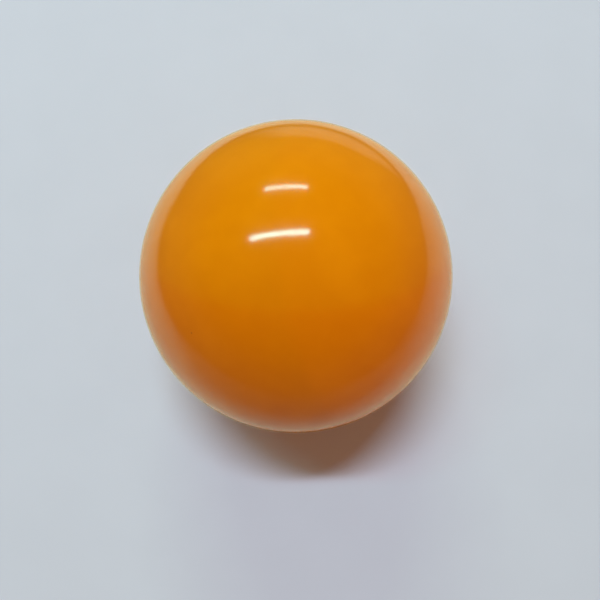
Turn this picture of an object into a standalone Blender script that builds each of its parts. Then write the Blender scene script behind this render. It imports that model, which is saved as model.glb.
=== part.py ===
"""A plain billiard ball, cast in two stages: a core, four centring pegs and a coloured shell.

The core is cast first, with a blind socket for each peg. The pegs stand in the sockets, each with its
shoulder on the core, and hold the core in the middle of the mould while the shell is poured round it.
The outer ends of the pegs are then ground flush with the ball. Nothing on the ball moves.

Units are metres, +Z is up, and the origin is the centre of the ball.
"""

import math

import bmesh
import bpy
from mathutils import Matrix, Vector

# Driving dimensions
BALL_DIAMETER = 0.0615
SHELL_THICKNESS = 0.0085
TENON_DIAMETER = 0.0040
TENON_LENGTH = 0.0045
TENON_CHAMFER = 0.0006
SHOULDER_WIDTH = 0.0010

# The bond line that is left between pieces that touch
BOND_GAP = 0.0003

# The pegs stand on every other corner of a cube round the ball, so the top and the bottom are all shell
PEG_CORNERS = ((1, 1, 1), (-1, -1, 1), (1, -1, -1), (-1, 1, -1))

# Facets, the sharpest angle that is still shaded smooth, and the distance below which points are one
BALL_SEGMENTS = 72
CORE_SEGMENTS = 48
PEG_SEGMENTS = 24
CAP_STEPS = 5
SHOULDER_STEPS = 2
SMOOTH_ANGLE = math.radians(35)
SAME_POINT = 1e-6

# Finishes: colour, roughness and metallic
SHELL_RESIN = ((0.87, 0.30, 0.008, 1.0), 0.08, 0.0)
CORE_RESIN = ((0.33, 0.27, 0.20, 1.0), 0.55, 0.0)

# Distances from the centre of the ball
BALL_RADIUS = BALL_DIAMETER / 2
CAVITY_RADIUS = BALL_RADIUS - SHELL_THICKNESS
CORE_RADIUS = CAVITY_RADIUS - BOND_GAP
TENON_END = CORE_RADIUS - TENON_LENGTH
SOCKET_END = TENON_END - BOND_GAP

# Distances from a peg's own axis
TENON_RADIUS = TENON_DIAMETER / 2
SHANK_RADIUS = TENON_RADIUS + SHOULDER_WIDTH
SOCKET_RADIUS = TENON_RADIUS + BOND_GAP
HOLE_RADIUS = SHANK_RADIUS + BOND_GAP


def mesh_object(name, form, centre):
    """An object made from a bmesh, held by the empty at the centre of the ball."""
    bmesh.ops.recalc_face_normals(form, faces=form.faces)
    mesh = bpy.data.meshes.new(name)
    form.to_mesh(mesh)
    form.free()
    mesh.shade_smooth()
    mesh.set_sharp_from_angle(angle=SMOOTH_ANGLE)
    piece = bpy.data.objects.new(name, mesh)
    piece.parent = centre
    bpy.context.scene.collection.objects.link(piece)
    return piece


def finish(piece, resin):
    """Gives a piece a material of its own, from a resin's colour, roughness and metallic value."""
    colour, roughness, metallic = resin
    material = bpy.data.materials.new(piece.name + "_resin")
    material.use_nodes = True
    material.diffuse_color = colour
    shader = material.node_tree.nodes["Principled BSDF"]
    shader.inputs["Base Color"].default_value = colour
    shader.inputs["Roughness"].default_value = roughness
    shader.inputs["Metallic"].default_value = metallic
    piece.data.materials.append(material)


def sphere(name, radius, segments, centre):
    """A sphere round the centre of the ball."""
    form = bmesh.new()
    bmesh.ops.create_uvsphere(form, u_segments=segments, v_segments=segments // 2, radius=radius)
    return mesh_object(name, form, centre)


def along(corner):
    """The turn that lays +Z along the line from the centre to a corner."""
    return Vector(corner).to_track_quat("Z", "Y").to_matrix().to_4x4()


def drill(name, radius, inner, outer, corner, centre):
    """A round cutter on a peg's axis, from one distance to another from the centre of the ball."""
    # A quarter facet of turn keeps its edges off the meridians of the spheres that it cuts.
    quarter_facet = Matrix.Rotation(math.tau / PEG_SEGMENTS / 4, 4, "Z")
    middle = Matrix.Translation((0, 0, (inner + outer) / 2))
    form = bmesh.new()
    bmesh.ops.create_cone(
        form,
        cap_ends=True,
        segments=PEG_SEGMENTS,
        radius1=radius,
        radius2=radius,
        depth=outer - inner,
        matrix=along(corner) @ middle @ quarter_facet,
    )
    return mesh_object(name, form, centre)


def cut(piece, cutter):
    """Takes a cutter's shape out of a piece, and keeps the cutter as a wire guide."""
    cutter.hide_render = True
    cutter.display_type = "WIRE"
    modifier = piece.modifiers.new(cutter.name, "BOOLEAN")
    modifier.operation = "DIFFERENCE"
    modifier.solver = "EXACT"
    modifier.object = cutter


def build_core(centre):
    """The inner ball, with a blind socket for each peg's tenon."""
    core = sphere("core", CORE_RADIUS, CORE_SEGMENTS, centre)
    for number, corner in enumerate(PEG_CORNERS, 1):
        name = f"socket_cutter_{number}"
        cut(core, drill(name, SOCKET_RADIUS, SOCKET_END, BALL_RADIUS, corner, centre))
    finish(core, CORE_RESIN)


def build_shell(centre):
    """The coloured layer round the core, with a hole for each peg's shank."""
    shell = sphere("shell", BALL_RADIUS, BALL_SEGMENTS, centre)
    cut(shell, sphere("cavity_cutter", CAVITY_RADIUS, CORE_SEGMENTS, centre))
    outside = BALL_RADIUS + SHELL_THICKNESS
    for number, corner in enumerate(PEG_CORNERS, 1):
        name = f"hole_cutter_{number}"
        cut(shell, drill(name, HOLE_RADIUS, TENON_END, outside, corner, centre))
    finish(shell, SHELL_RESIN)


def sphere_arc(radius, start, end, steps):
    """Points of a sphere round the centre of the ball, between two distances from a peg's axis."""
    reaches = [start + (end - start) * step / steps for step in range(steps + 1)]
    return [(reach, math.sqrt(radius * radius - reach * reach)) for reach in reaches]


def peg_profile():
    """Half of a peg's outline, from the foot of its tenon up to the middle of its cap.

    The shoulder is hollowed to sit on the core, and the cap is a patch of the ball's own surface.
    """
    foot = [
        (0, TENON_END),
        (TENON_RADIUS - TENON_CHAMFER, TENON_END),
        (TENON_RADIUS, TENON_END + TENON_CHAMFER),
    ]
    shoulder = sphere_arc(CAVITY_RADIUS, TENON_RADIUS, SHANK_RADIUS, SHOULDER_STEPS)
    cap = sphere_arc(BALL_RADIUS, SHANK_RADIUS, 0, CAP_STEPS)
    return foot + shoulder + cap


def build_peg(name, corner, centre):
    """A peg, turned from its profile and laid along the line to its corner."""
    form = bmesh.new()
    points = [form.verts.new((reach, 0, height)) for reach, height in peg_profile()]
    edges = [form.edges.new(pair) for pair in zip(points, points[1:])]
    bmesh.ops.spin(
        form,
        geom=points + edges,
        axis=(0, 0, 1),
        cent=(0, 0, 0),
        angle=math.tau,
        steps=PEG_SEGMENTS,
        use_merge=True,
    )
    bmesh.ops.remove_doubles(form, verts=form.verts, dist=SAME_POINT)
    peg = mesh_object(name, form, centre)
    peg.rotation_euler = along(corner).to_euler()
    finish(peg, SHELL_RESIN)


def build_ball():
    for leftover in list(bpy.data.objects):
        bpy.data.objects.remove(leftover)
    centre = bpy.data.objects.new("ball_centre", None)
    bpy.context.scene.collection.objects.link(centre)
    build_core(centre)
    build_shell(centre)
    for number, corner in enumerate(PEG_CORNERS, 1):
        build_peg(f"centring_peg_{number}", corner, centre)


build_ball()
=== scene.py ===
# %% [markdown]
# A plain billiard ball, dressed for the camera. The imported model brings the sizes: a filled core, four
# pegs that hold it in the middle, and the coloured shell that is cast round them. This lesson gives the
# ball its polished outside, its two resins, a pale floor, soft light and the camera of the photograph.

# %% Load the frame
import math

import bpy
from mathutils import Matrix, Vector


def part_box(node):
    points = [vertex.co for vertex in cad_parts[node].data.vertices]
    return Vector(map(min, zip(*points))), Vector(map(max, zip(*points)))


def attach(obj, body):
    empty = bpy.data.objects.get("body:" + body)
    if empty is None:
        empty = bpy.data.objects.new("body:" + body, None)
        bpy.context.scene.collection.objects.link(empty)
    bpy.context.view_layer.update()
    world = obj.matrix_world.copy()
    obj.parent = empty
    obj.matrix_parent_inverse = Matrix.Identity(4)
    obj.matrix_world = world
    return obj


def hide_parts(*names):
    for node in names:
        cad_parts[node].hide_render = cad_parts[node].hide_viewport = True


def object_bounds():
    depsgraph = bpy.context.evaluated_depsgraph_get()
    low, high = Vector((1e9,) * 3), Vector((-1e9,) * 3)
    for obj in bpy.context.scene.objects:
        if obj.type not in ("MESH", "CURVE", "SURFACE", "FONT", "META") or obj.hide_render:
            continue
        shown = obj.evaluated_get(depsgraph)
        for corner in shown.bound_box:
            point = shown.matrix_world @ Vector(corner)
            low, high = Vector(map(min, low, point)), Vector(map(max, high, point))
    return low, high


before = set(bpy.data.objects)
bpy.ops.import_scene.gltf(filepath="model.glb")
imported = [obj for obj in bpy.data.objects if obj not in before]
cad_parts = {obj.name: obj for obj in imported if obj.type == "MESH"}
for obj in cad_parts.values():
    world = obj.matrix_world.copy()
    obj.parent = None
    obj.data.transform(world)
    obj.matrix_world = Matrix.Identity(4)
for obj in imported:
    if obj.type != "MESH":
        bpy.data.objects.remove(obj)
cad_low, cad_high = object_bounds()
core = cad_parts["core"]
core_low, core_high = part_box("core")
BALL_RADIUS = (cad_high.z - cad_low.z) / 2
BALL_CENTRE = (cad_low + cad_high) / 2
CORE_RADIUS = (core_high.z - core_low.z) / 2
print("ball radius", round(BALL_RADIUS, 5), "core radius", round(CORE_RADIUS, 5), sorted(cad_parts))

# %% [markdown]
# The real ball leaves its mould rough and a little too large. It is then ground between rings and
# polished until no seam, peg or pouring mark is left, so the outside is one even sphere. A sphere
# primitive pinches its faces at two poles, and a mirror finish shows that. A cube that is halved and
# rounded again and again has no poles, and its faces stay nearly square, so the ball starts as a cube.

# %% Start with a cube of the ball's size
bpy.ops.object.select_all(action="DESELECT")
bpy.ops.mesh.primitive_cube_add(size=2 * BALL_RADIUS, location=BALL_CENTRE)
ball = bpy.context.object
ball.name = "polished_ball"
print("cube", tuple(round(side, 4) for side in ball.dimensions))

# %% [markdown]
# In edit mode every edge is cut in half, and To Sphere then pushes the new points outwards. Doing both in
# turn spreads the faces more evenly than cutting everything first and rounding once.

# %% Halve and round it, step by step
ROUNDING_STEPS = 6

bpy.ops.object.mode_set(mode="EDIT")
bpy.ops.mesh.select_all(action="SELECT")
for step in range(ROUNDING_STEPS):
    bpy.ops.mesh.subdivide(number_cuts=1)
    bpy.ops.transform.tosphere(value=1)
bpy.ops.object.mode_set(mode="OBJECT")
print("rounded ball", len(ball.data.polygons), "faces")

# %% [markdown]
# The rounding takes the ball's size from the average of its points, which leaves it a little small. A
# Cast modifier does what the grinder does: it brings every point to one radius.

# %% Grind it true
grinding = ball.modifiers.new("grinding", "CAST")
grinding.cast_type = "SPHERE"
grinding.factor = 1
grinding.size = BALL_RADIUS
grinding.use_radius_as_size = False
bpy.ops.object.modifier_apply(modifier=grinding.name)
radii = [(vertex.co - BALL_CENTRE).length for vertex in ball.data.vertices]
print("ground to radius", round(min(radii), 6), "to", round(max(radii), 6))

# %% [markdown]
# The shell is a hollow layer with the core inside it. A Solidify modifier adds the cavity wall from the
# outside inwards, so the outside keeps its size. The cavity stays a bond line wider than the core.

# %% Hollow it for the core
BOND_LINE = 0.0003

casting = ball.modifiers.new("casting", "SOLIDIFY")
casting.thickness = BALL_RADIUS - CORE_RADIUS - BOND_LINE
casting.offset = -1
bpy.ops.object.modifier_apply(modifier=casting.name)
bpy.ops.object.shade_smooth()
cavity_radius = min((vertex.co - BALL_CENTRE).length for vertex in ball.data.vertices)
print("cavity radius", round(cavity_radius, 5), "and", len(ball.data.polygons), "faces")

# %% [markdown]
# The resins are made of shader nodes on Object coordinates, so their detail has a real size in metres. A
# few helpers keep the next cells short. One adds a node and fills its inputs, with a value or with a link
# from another node. The others calculate, ease from 0 to 1 between two values, and blend two colours.

# %% Helpers for nodes
MIX_COLOUR_A = 6
MIX_COLOUR_B = 7
MIX_COLOUR_RESULT = 2


def add_node(tree, kind, inputs=None, **options):
    """Adds a node, sets its options, and fills its inputs with values or with links."""
    node = tree.nodes.new(kind)
    for name, value in options.items():
        setattr(node, name, value)
    for name, value in (inputs or {}).items():
        if isinstance(value, bpy.types.NodeSocket):
            tree.links.new(value, node.inputs[name])
        else:
            node.inputs[name].default_value = value
    return node


def calculate(tree, operation, first, second):
    """One operation on two values, such as ADD or MAXIMUM."""
    return add_node(tree, "ShaderNodeMath", {0: first, 1: second}, operation=operation).outputs["Value"]


def product(tree, first, *others):
    """Several values multiplied with each other."""
    for other in others:
        first = calculate(tree, "MULTIPLY", first, other)
    return first


def opposite(tree, mask):
    """1 where a mask is 0, and 0 where it is 1."""
    return calculate(tree, "SUBTRACT", 1.0, mask)


def ease(tree, value, start, end):
    """Eases from 0, where a value is at start, to 1, where it is at end."""
    limits = {"Value": value, "From Min": start, "From Max": end}
    return add_node(tree, "ShaderNodeMapRange", limits, interpolation_type="SMOOTHSTEP").outputs["Result"]


def noise(tree, place, scale, detail, distortion=0.0):
    """A noise texture with values round 0.5."""
    inputs = {"Vector": place, "Scale": scale, "Detail": detail, "Distortion": distortion}
    return add_node(tree, "ShaderNodeTexNoise", inputs).outputs["Fac"]


def blend(tree, mask, first, second):
    """The first colour where the mask is 0, and the second where it is 1."""
    inputs = {"Factor": mask, MIX_COLOUR_A: first, MIX_COLOUR_B: second}
    return add_node(tree, "ShaderNodeMix", inputs, data_type="RGBA").outputs[MIX_COLOUR_RESULT]


print("helpers for nodes ready")

# %% [markdown]
# Two more helpers start a node group and a material. A group has named inputs, so each material that uses
# it sets its own values. In Blender 4.5 the sockets of a group are made through its interface.

# %% Helpers for groups and materials
NUMBER = "NodeSocketFloat"


def new_group(name, inputs, output):
    """A node group with number inputs and one number output, and its two end nodes."""
    group = bpy.data.node_groups.new(name, "ShaderNodeTree")
    for title, value in inputs.items():
        socket = group.interface.new_socket(title, in_out="INPUT", socket_type=NUMBER)
        socket.default_value = value
    group.interface.new_socket(output, in_out="OUTPUT", socket_type=NUMBER)
    return group, group.nodes.new("NodeGroupInput"), group.nodes.new("NodeGroupOutput")


def new_material(name):
    """A material with a Principled shader, its node tree, and its Object coordinates."""
    material = bpy.data.materials.new(name)
    material.use_nodes = True
    tree = material.node_tree
    place = add_node(tree, "ShaderNodeTexCoord").outputs["Object"]
    return material, tree, tree.nodes["Principled BSDF"], place


print("helpers for groups and materials ready")

# %% [markdown]
# Cast resin is never quite one colour. The pigment drifts while the resin sets, and leaves faint clouds.
# Both resins of this ball have them, in other sizes, so they are a node group: broad clouds from one
# noise, broken up by a finer one.

# %% Pigment clouds, for both resins
FINE_CLOUDS = 4.5
FINE_SHARE = 0.35
BROAD_DETAIL = 2
BROAD_DISTORTION = 0.8
FINE_DETAIL = 3
FINE_DISTORTION = 0.3
CLOUD_START = 0.32
CLOUD_END = 0.68

cloud_inputs = {"Clouds per Metre": 50}
pigment_clouds, ends_in, ends_out = new_group("pigment_clouds", cloud_inputs, "Clouds")
place = add_node(pigment_clouds, "ShaderNodeTexCoord").outputs["Object"]
broad_scale = ends_in.outputs["Clouds per Metre"]
fine_scale = product(pigment_clouds, broad_scale, FINE_CLOUDS)
broad = noise(pigment_clouds, place, broad_scale, BROAD_DETAIL, BROAD_DISTORTION)
fine = noise(pigment_clouds, place, fine_scale, FINE_DETAIL, FINE_DISTORTION)
broad_part = product(pigment_clouds, broad, 1 - FINE_SHARE)
fine_part = product(pigment_clouds, fine, FINE_SHARE)
both = calculate(pigment_clouds, "ADD", broad_part, fine_part)
clouds = ease(pigment_clouds, both, CLOUD_START, CLOUD_END)
pigment_clouds.links.new(clouds, ends_out.inputs["Clouds"])
print("group", pigment_clouds.name, len(pigment_clouds.nodes), "nodes")

# %% [markdown]
# Small grains sit in the resin too: a pinhole or a speck of dust here and there in the shell, and plenty
# of mineral filler in the core. A Voronoi texture has one point in each cell, and its cells have random
# colours. A grain is drawn round the point, in only as many cells as the share asks for.

# %% Grains, for both resins
GRAIN_HEART = 0.4

grain_inputs = {"Cells per Metre": 200, "Grain Size": 0.1, "Share of Cells": 0.2}
grains, ends_in, ends_out = new_group("grains", grain_inputs, "Grains")
place = add_node(grains, "ShaderNodeTexCoord").outputs["Object"]
cell_inputs = {"Vector": place, "Scale": ends_in.outputs["Cells per Metre"]}
cells = add_node(grains, "ShaderNodeTexVoronoi", cell_inputs).outputs
edge = ends_in.outputs["Grain Size"]
dots = ease(grains, cells["Distance"], edge, product(grains, edge, GRAIN_HEART))
chance = add_node(grains, "ShaderNodeSeparateColor", {"Color": cells["Color"]}).outputs["Red"]
chosen = calculate(grains, "LESS_THAN", chance, ends_in.outputs["Share of Cells"])
grains.links.new(product(grains, dots, chosen), ends_out.inputs["Grains"])
print("group", grains.name, len(grains.nodes), "nodes")

# %% [markdown]
# The shell is orange phenolic resin with the colour all the way through. Its yellow and red pigments give
# a warm orange with almost no blue in it. The clouds run from a slightly deeper to a slightly lighter
# tone, and the few specks are a little browner.

# %% Colour of the shell resin
DEEP_ORANGE = (0.785, 0.207, 0.0004, 1)
LIGHT_ORANGE = (0.84, 0.233, 0.0008, 1)
SPECK_BROWN = (0.60, 0.145, 0.001, 1)
SHELL_CLOUDS = {"Clouds per Metre": 45}
SHELL_SPECKS = {"Cells per Metre": 170, "Grain Size": 0.045, "Share of Cells": 0.10}

shell_resin, tree, shader, place = new_material("shell_resin")
clouds = add_node(tree, "ShaderNodeGroup", SHELL_CLOUDS, node_tree=pigment_clouds).outputs["Clouds"]
specks = add_node(tree, "ShaderNodeGroup", SHELL_SPECKS, node_tree=grains).outputs["Grains"]
orange = blend(tree, clouds, DEEP_ORANGE, LIGHT_ORANGE)
tree.links.new(blend(tree, specks, orange, SPECK_BROWN), shader.inputs["Base Color"])
print("shell colour from", DEEP_ORANGE[:3], "to", LIGHT_ORANGE[:3])

# %% [markdown]
# Play leaves fine hairlines on the polish, in every direction. They are too shallow to see by themselves,
# but they blur what the ball mirrors. A noise that is stretched far along one direction makes such
# slivers, and four turns of it cross each other. The Mapping node's Texture type takes their length and
# width as sizes in metres.

# %% Hairlines in the polish
HAIRLINE_SIZE = (0.014, 0.00030, 0.00030)
HAIRLINE_TURNS = ((0.3, 0.2, 0.4), (1.1, 0.5, 1.3), (2.0, 1.0, 2.2), (0.7, 1.9, 2.9))
HAIRLINE_START = 0.66
HAIRLINE_END = 0.80

hairlines = 0.0
for turn in HAIRLINE_TURNS:
    lay = {"Vector": place, "Rotation": turn, "Scale": HAIRLINE_SIZE}
    stretched = add_node(tree, "ShaderNodeMapping", lay, vector_type="TEXTURE").outputs["Vector"]
    slivers = ease(tree, noise(tree, stretched, scale=1, detail=0), HAIRLINE_START, HAIRLINE_END)
    hairlines = calculate(tree, "MAXIMUM", slivers, hairlines)
print("hairlines", HAIRLINE_SIZE[0], "m long, in", len(HAIRLINE_TURNS), "directions")

# %% [markdown]
# The gloss itself is high, with a softer haze in places where the ball has been handled. Phenolic resin
# bends light more than glass does, so its index of refraction is 1.6.

# %% Gloss of the shell resin
POLISH = 0.105
HAZE = 0.015
HAZE_SCALE = 90
HAZE_DETAIL = 4
HAZE_START = 0.4
HAZE_END = 0.7
HAIRLINE_BLUR = 0.03
RESIN_INDEX = 1.6

haze_mask = ease(tree, noise(tree, place, HAZE_SCALE, HAZE_DETAIL), HAZE_START, HAZE_END)
haze = product(tree, haze_mask, HAZE)
blur = product(tree, hairlines, HAIRLINE_BLUR)
polish = calculate(tree, "ADD", calculate(tree, "ADD", haze, blur), POLISH)
tree.links.new(polish, shader.inputs["Roughness"])
shader.inputs["IOR"].default_value = RESIN_INDEX
print("roughness from", POLISH, "to", POLISH + HAZE + HAIRLINE_BLUR)

# %% [markdown]
# Specks are also about two hundredths of a millimetre deep, and the hairlines a small share of that. They
# could be dents in the mesh, but that would take millions of faces. A Bump node tilts the surface for the
# light as such marks do. Inverted, it makes dents and not bumps.

# %% Depth of the marks
MARK_DEPTH = 0.00002
HAIRLINE_SHARE = 0.01

marks = calculate(tree, "ADD", specks, product(tree, hairlines, HAIRLINE_SHARE))
relief = add_node(tree, "ShaderNodeBump", {"Height": marks, "Distance": MARK_DEPTH}, invert=True)
tree.links.new(relief.outputs["Normal"], shader.inputs["Normal"])
print("marks up to", MARK_DEPTH, "m deep")

# %% [markdown]
# The core never sees light, but it is a real piece. It is cast from plain resin with a heavy mineral
# filler that brings the ball to its weight, and it is left as it comes from the mould: brownish grey,
# dull and grainy.

# %% The core resin
CORE_DARK = (0.27, 0.22, 0.16, 1)
CORE_LIGHT = (0.37, 0.31, 0.235, 1)
FILLER_PALE = (0.55, 0.50, 0.42, 1)
CORE_CLOUDS = {"Clouds per Metre": 120}
FILLER = {"Cells per Metre": 900, "Grain Size": 0.30, "Share of Cells": 0.45}
DULLNESS = 0.5
MORE_DULLNESS = 0.15
FILLER_HEIGHT = 0.00005

core_resin, tree, shader, place = new_material("core_resin")
clouds = add_node(tree, "ShaderNodeGroup", CORE_CLOUDS, node_tree=pigment_clouds).outputs["Clouds"]
filler = add_node(tree, "ShaderNodeGroup", FILLER, node_tree=grains).outputs["Grains"]
grey = blend(tree, clouds, CORE_DARK, CORE_LIGHT)
tree.links.new(blend(tree, filler, grey, FILLER_PALE), shader.inputs["Base Color"])
dull = calculate(tree, "ADD", product(tree, clouds, MORE_DULLNESS), DULLNESS)
tree.links.new(dull, shader.inputs["Roughness"])
grainy = add_node(tree, "ShaderNodeBump", {"Height": filler, "Distance": FILLER_HEIGHT})
tree.links.new(grainy.outputs["Normal"], shader.inputs["Normal"])
print("core resin with", len(tree.nodes), "nodes")

# %% [markdown]
# The polished ball stands for the shell and for the pegs, whose ends are ground flush and have the same
# colour. The core keeps its own solid and takes the new resin.

# %% Dress the ball
pegs = sorted(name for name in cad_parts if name.startswith("centring_peg"))

bpy.ops.object.select_all(action="DESELECT")
ball.select_set(True)
bpy.ops.object.transform_apply(location=True, rotation=True, scale=True)
ball.data.materials.append(shell_resin)
core.data.materials[0] = core_resin
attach(ball, "root")
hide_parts("shell", *pegs)
print("polished_ball stands for shell and", len(pegs), "pegs")

# %% [markdown]
# The ball lies on a plain pale surface. A square plane could stand for it, but a disc ends at the same
# distance on every side, so it can fade out alike in every view.

# %% The floor
FLOOR_RADIUS = 2.5
FLOOR_CORNERS = 96

bpy.ops.object.select_all(action="DESELECT")
bpy.ops.mesh.primitive_circle_add(
    vertices=FLOOR_CORNERS, radius=FLOOR_RADIUS, fill_type="NGON", location=(0, 0, cad_low.z)
)
floor = bpy.context.object
floor.name = "pale_floor"
print("floor at", round(floor.location.z, 5))

# %% [markdown]
# The floor has a cool tint with a faint mottle, as paper has. The ball mirrors it a little warmer than
# the camera sees it. Light Path tells mirrored rays apart from the rest, so each gets its own colour.

# %% The floor's finish
PALE = (0.65, 0.70, 0.765, 1)
MIRRORED_PALE = (0.72, 0.74, 0.54, 1)
MOTTLE_DEPTH = 0.015
MOTTLE_SCALE = 60
MOTTLE_DETAIL = 3
MOTTLE_START = 0.3
MOTTLE_END = 0.7
FLOOR_ROUGHNESS = 0.9
FLOOR_SHINE = 0.1

floor_finish, tree, shader, place = new_material("pale_floor")
floor.data.materials.append(floor_finish)
light_path = add_node(tree, "ShaderNodeLightPath").outputs
mottle = ease(tree, noise(tree, place, MOTTLE_SCALE, MOTTLE_DETAIL), MOTTLE_START, MOTTLE_END)
dimmer = tuple((1 - MOTTLE_DEPTH) * part for part in PALE[:3]) + (1,)
floor_colour = blend(tree, mottle, dimmer, PALE)
floor_colour = blend(tree, light_path["Is Glossy Ray"], floor_colour, MIRRORED_PALE)
tree.links.new(floor_colour, shader.inputs["Base Color"])
shader.inputs["Roughness"].default_value = FLOOR_ROUGHNESS
shader.inputs["Specular IOR Level"].default_value = FLOOR_SHINE
print("floor colour", PALE[:3])

# %% [markdown]
# The polish mirrors the floor near the ball's rim. In the photograph the pale sheet under the ball ends a
# few ball widths away, and its mirror image shows these edges: slanting ones on the left and right, and a
# sharp one at the far side. A mask is 1 on the sheet and eases to 0 past each edge. Distances are in ball
# radii.

# %% Edges of the mirrored sheet
SHEET_LEFT = -4.73
LEFT_SLANT = 0.56
SHEET_RIGHT = 8.1
RIGHT_SLANT = -0.75
SHEET_FAR = 2.6
SIDE_SOFTNESS = 0.6
FAR_SOFTNESS = 0.12


def past(tree, value, limit, softness):
    """1 well past a limit and 0 well before it. A negative softness turns this round."""
    return ease(tree, value, limit - softness, limit + softness)


radii_mapping = {"Vector": place, "Scale": (BALL_RADIUS,) * 3}
in_radii = add_node(tree, "ShaderNodeMapping", radii_mapping, vector_type="TEXTURE").outputs["Vector"]
across = add_node(tree, "ShaderNodeSeparateXYZ", {"Vector": in_radii}).outputs
from_left = calculate(tree, "SUBTRACT", across["X"], product(tree, across["Y"], LEFT_SLANT))
from_right = calculate(tree, "SUBTRACT", across["X"], product(tree, across["Y"], RIGHT_SLANT))
left = past(tree, from_left, SHEET_LEFT, SIDE_SOFTNESS)
right = past(tree, from_right, SHEET_RIGHT, -SIDE_SOFTNESS)
far = past(tree, across["Y"], SHEET_FAR, -FAR_SOFTNESS)
sheet = product(tree, left, right, far)
print("mirrored sheet, in ball radii, from", SHEET_LEFT, "to", SHEET_RIGHT, "and back to", SHEET_FAR)

# %% [markdown]
# The mirrored sheet isn't equally bright all over. Before the ball a painted shade darkens it, deepest in
# the middle, and a painted fade dims it a little with distance, until nothing of it is left.

# %% Shade on the mirrored sheet
SHADE_START = -1.0
SHADE_END = -4.0
SHADE = 0.40
MIDDLE_SHADE = 0.38
MIDDLE_EDGE = 6.0
MIDDLE_HEART = 1.0
FADE = 0.35
FADE_START = 2.5
FADE_END = 8.0
REACH_START = 3.0
REACH_END = 18.0

before = ease(tree, across["Y"], SHADE_START, SHADE_END)
aside = calculate(tree, "ABSOLUTE", across["X"], 0.0)
middle_shade = product(tree, ease(tree, aside, MIDDLE_EDGE, MIDDLE_HEART), MIDDLE_SHADE)
shade = product(tree, before, calculate(tree, "ADD", middle_shade, SHADE))
reach = add_node(tree, "ShaderNodeVectorMath", {0: in_radii}, operation="LENGTH").outputs["Value"]
faded = product(tree, ease(tree, reach, FADE_START, FADE_END), FADE)
in_reach = ease(tree, reach, REACH_END, REACH_START)
lit_sheet = product(tree, sheet, in_reach, opposite(tree, faded), opposite(tree, shade))
print("shade before the ball", SHADE, "to", SHADE + MIDDLE_SHADE)

# %% [markdown]
# Beyond a narrow gap lies a second, dimmer sheet. The ball mirrors it as a thin band inside the far rim.
# The mask is the product of its four edges.

# %% The second mirrored sheet
SECOND_LEFT = -0.7
SECOND_RIGHT = 3.0
SECOND_NEAR = 3.1
SECOND_FAR = 6.0
SECOND_LIGHT = 0.56

second_left = past(tree, across["X"], SECOND_LEFT, SIDE_SOFTNESS)
second_right = past(tree, across["X"], SECOND_RIGHT, -SIDE_SOFTNESS)
second_near = past(tree, across["Y"], SECOND_NEAR, FAR_SOFTNESS)
second_far = past(tree, across["Y"], SECOND_FAR, -SIDE_SOFTNESS)
second = product(tree, second_left, second_right, second_near, second_far, SECOND_LIGHT)
print("second sheet from", SECOND_NEAR, "to", SECOND_FAR)

# %% [markdown]
# Off the two sheets the polish mirrors a dark room. A faint Emission stands for it, because it looks the
# same however the lamps fall. The light that the floor throws back on the ball is dimmed there too, but
# only in part, so that the ball's underside stays bright. The floor that the camera sees stays plain.

# %% The dark room round both sheets
DARK_ROOM = (0.085, 0.07, 0.052, 1)
BOUNCE_LOSS = 0.45

room = add_node(tree, "ShaderNodeEmission", {"Color": DARK_ROOM}).outputs[0]
off_sheet = opposite(tree, calculate(tree, "MAXIMUM", lit_sheet, second))
bounced = product(tree, light_path["Is Diffuse Ray"], BOUNCE_LOSS)
unseen = calculate(tree, "ADD", light_path["Is Glossy Ray"], bounced)
darkened = product(tree, off_sheet, unseen)
near_floor = add_node(tree, "ShaderNodeMixShader", {0: darkened, 1: shader.outputs[0], 2: room}).outputs[0]
print("dark room", DARK_ROOM[:3])

# %% [markdown]
# Low views look along the floor to its end. There the floor turns gradually into the background colour,
# for the camera only, so no horizon shows.

# %% Melt the floor into the background
BACKGROUND = (0.60, 0.64, 0.68, 1)
MELT_START = 0.085
MELT_END = 0.36

distance = add_node(tree, "ShaderNodeVectorMath", {0: place}, operation="LENGTH").outputs["Value"]
melting = product(tree, ease(tree, distance, MELT_START, MELT_END), light_path["Is Camera Ray"])
mist = add_node(tree, "ShaderNodeEmission", {"Color": BACKGROUND}).outputs[0]
melted = add_node(tree, "ShaderNodeMixShader", {0: melting, 1: near_floor, 2: mist}).outputs[0]
tree.links.new(melted, tree.nodes["Material Output"].inputs["Surface"])
print("floor melts from", MELT_START, "to", MELT_END, "m")

# %% [markdown]
# Besides the lamps, warm light comes back from the room on all sides. It fills the ball's shadow with a
# warm tone, while the key lamp is cool. The camera sees the pale background instead. The polish mirrors
# the dark room at eye level, and overhead a ceiling that is darker still.

# %% Light from the room
ROOM_WARMTH = (0.305, 0.155, 0.092, 1)
DARK_CEILING = (0.01, 0.008, 0.006, 1)
EYE_LEVEL = 0.0
CEILING_START = 0.6

world = bpy.data.worlds.new("room")
bpy.context.scene.world = world
world.use_nodes = True
tree = world.node_tree
light_path = add_node(tree, "ShaderNodeLightPath").outputs
direction = add_node(tree, "ShaderNodeTexCoord").outputs["Generated"]
height = add_node(tree, "ShaderNodeSeparateXYZ", {"Vector": direction}).outputs["Z"]
mirrored_room = blend(tree, ease(tree, height, EYE_LEVEL, CEILING_START), DARK_ROOM, DARK_CEILING)
unseen_room = blend(tree, light_path["Is Glossy Ray"], ROOM_WARMTH, mirrored_room)
seen_room = blend(tree, light_path["Is Camera Ray"], unseen_room, BACKGROUND)
tree.links.new(seen_room, tree.nodes["Background"].inputs["Color"])
print("room light", ROOM_WARMTH[:3])

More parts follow.
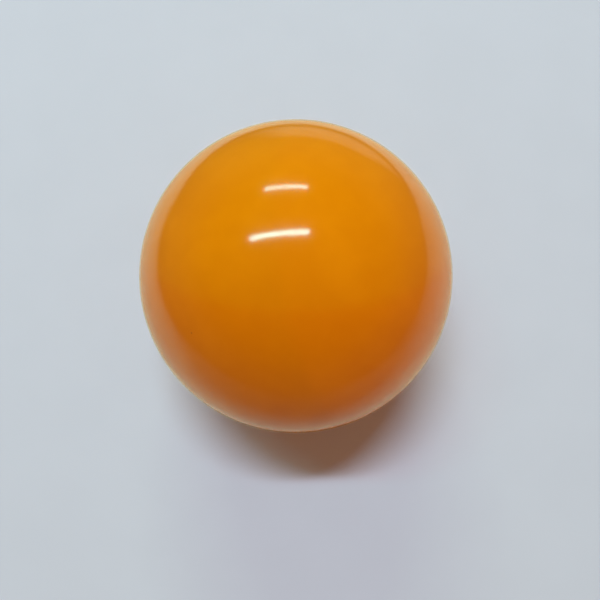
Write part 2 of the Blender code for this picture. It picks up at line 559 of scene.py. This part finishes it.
# %% [markdown]
# Two long lamps hang over the ball, one behind the other. Each leaves a bright streak in the polish.
# Their places come from those streaks: the near one hangs a little behind the ball, the far one well
# behind it, and both reach further to the left than to the right. The distances are shares of the lamps'
# height over the ball. A cool white keeps the soft edges of the streaks cream on the orange, where a
# plain white turns them pink.

# %% The two lamps that the polish mirrors
LAMP_HEIGHT = 1.5
NEAR_LAMP = (-0.230, 0.395)
FAR_LAMP = (-0.196, 1.485)
LAMP_LENGTH = 0.773
NEAR_WIDTH = 0.05
FAR_WIDTH = 0.07
NEAR_TURN = math.radians(2.7)
FAR_TURN = math.radians(-4.7)
NEAR_POWER = 7.0
FAR_POWER = 11.5
COOL_WHITE = (0.42, 1.0, 0.96)


def hang_lamp(name, place, length, width, power, colour, turn, shape="RECTANGLE", mirrored=True):
    """An area lamp that faces down, at a place given in shares of the lamps' height."""
    light = bpy.data.lights.new(name, "AREA")
    light.shape = shape
    light.size = length * LAMP_HEIGHT
    light.size_y = width * LAMP_HEIGHT
    light.energy = power
    light.color = colour
    lamp = bpy.data.objects.new(name, light)
    lamp.location = BALL_CENTRE + Vector((place[0], place[1], 1)) * LAMP_HEIGHT
    lamp.rotation_euler.z = turn
    lamp.visible_glossy = mirrored
    bpy.context.scene.collection.objects.link(lamp)
    print(name, tuple(round(value, 3) for value in lamp.location), power, "W")


hang_lamp("near_lamp", NEAR_LAMP, LAMP_LENGTH, NEAR_WIDTH, NEAR_POWER, COOL_WHITE, NEAR_TURN)
hang_lamp("far_lamp", FAR_LAMP, LAMP_LENGTH, FAR_WIDTH, FAR_POWER, COOL_WHITE, FAR_TURN)

# %% [markdown]
# The lamps alone would be too weak to light the ball at a plain level, and stronger ones would burn their
# streaks white. So most of the light comes from two softboxes at about the same places, which the polish
# doesn't mirror. The key is cool and hangs a little right of the near lamp's middle, which sets where the
# tip of the shadow lies. The back light is a pale yellow green, for the golden tone of the far side.

# %% The softboxes
KEY_PLACE = (-0.098, 0.371)
KEY_LENGTH = 0.52
KEY_WIDTH = 0.05
KEY_POWER = 15.4
BACK_POWER = 20.5
COOL = (0.78, 0.807, 1.0)
PALE_GREEN = (0.90, 0.95, 0.53)

hang_lamp("key", KEY_PLACE, KEY_LENGTH, KEY_WIDTH, KEY_POWER, COOL, NEAR_TURN, "ELLIPSE", False)
hang_lamp("back", FAR_LAMP, LAMP_LENGTH, FAR_WIDTH, BACK_POWER, PALE_GREEN, FAR_TURN, "RECTANGLE", False)

# %% [markdown]
# Two spot lamps light the ball alone. Each stands off to one side with a snoot, a tube whose cone stays
# just inside the ball's outline, so none of its light reaches the floor. In the photograph the far side of
# the ball is more golden than the near side, and its right side is a little brighter than its left. The
# spots do that, and the floor keeps its plain tone.

# %% The spots for the ball alone
SPOT_DISTANCE = 40 * BALL_RADIUS
SPOT_COVER = 0.98
SPOT_CONE = 2 * math.asin(SPOT_COVER * BALL_RADIUS / SPOT_DISTANCE)
SPOT_BLEND = 0.05
GOLD_SIDE = (0.0, 0.83, 0.56)
RIGHT_SIDE = (0.90, 0.10, 0.36)
GOLD_POWER = 15.0
RIGHT_POWER = 6.0
GREEN = (0.0, 1.0, 0.0)
WARM = (1.0, 0.40, 0.20)


def aim_spot(name, side, power, colour):
    """A snooted spot lamp that lights the ball from one side, and isn't mirrored."""
    light = bpy.data.lights.new(name, "SPOT")
    light.spot_size = SPOT_CONE
    light.spot_blend = SPOT_BLEND
    light.shadow_soft_size = 0
    light.energy = power
    light.color = colour
    lamp = bpy.data.objects.new(name, light)
    lamp.location = BALL_CENTRE + Vector(side).normalized() * SPOT_DISTANCE
    lamp.rotation_euler = Vector(side).to_track_quat("Z", "Y").to_euler()
    lamp.visible_glossy = False
    bpy.context.scene.collection.objects.link(lamp)
    print(name, tuple(round(value, 3) for value in lamp.location), power, "W")


aim_spot("gold_spot", GOLD_SIDE, GOLD_POWER, GREEN)
aim_spot("right_spot", RIGHT_SIDE, RIGHT_POWER, WARM)

# %% [markdown]
# The photograph looks down on the ball from almost straight above, from close by. The size of the ball's
# outline gives the lens: the picture is 600 pixels wide, and the ball's radius covers about 157 of them.

# %% The camera
PICTURE_SIDE = 600
BALL_PIXEL_RADIUS = 156.6
VIEW_DISTANCE = 4.2 * BALL_RADIUS
SENSOR_WIDTH = 36
CLIP_START = 0.01
CLIP_END = 10

away = VIEW_DISTANCE / BALL_RADIUS
focal_pixels = BALL_PIXEL_RADIUS * math.sqrt(away**2 - 1)
camera = bpy.data.objects.new("camera", bpy.data.cameras.new("camera"))
camera.data.sensor_width = SENSOR_WIDTH
camera.data.lens = SENSOR_WIDTH * focal_pixels / PICTURE_SIDE
camera.data.clip_start = CLIP_START
camera.data.clip_end = CLIP_END
bpy.context.scene.collection.objects.link(camera)
bpy.context.scene.camera = camera
print("lens", round(camera.data.lens, 2), "mm")

# %% [markdown]
# The ball isn't quite in the middle of the picture. So the camera stands on the line that looks down on
# the ball, and aims at a point a little beside it. Its three axes are worked out one after the other,
# because a tracking helper would also roll the camera.

# %% Aim the camera
BALL_PIXEL = (296.1, 277.4)
VIEW_ELEVATION = math.radians(82)

metres_per_pixel = VIEW_DISTANCE / focal_pixels
middle = PICTURE_SIDE / 2
backwards = Vector((0, -math.cos(VIEW_ELEVATION), math.sin(VIEW_ELEVATION)))
rightwards = Vector((1, 0, 0))
upwards = backwards.cross(rightwards)
aim_right = rightwards * (middle - BALL_PIXEL[0]) * metres_per_pixel
aim_up = upwards * (BALL_PIXEL[1] - middle) * metres_per_pixel
aim = BALL_CENTRE + aim_right + aim_up
camera.location = BALL_CENTRE + backwards * VIEW_DISTANCE
sight_back = (camera.location - aim).normalized()
sight_up = sight_back.cross(rightwards).normalized()
sight_right = sight_up.cross(sight_back)
camera.rotation_euler = Matrix((sight_right, sight_up, sight_back)).transposed().to_euler()
print("camera at", tuple(round(value, 4) for value in camera.location))

# %% [markdown]
# Colours go to the screen as they are written, with the Standard view.

# %% Finish
bpy.context.scene.view_settings.view_transform = "Standard"
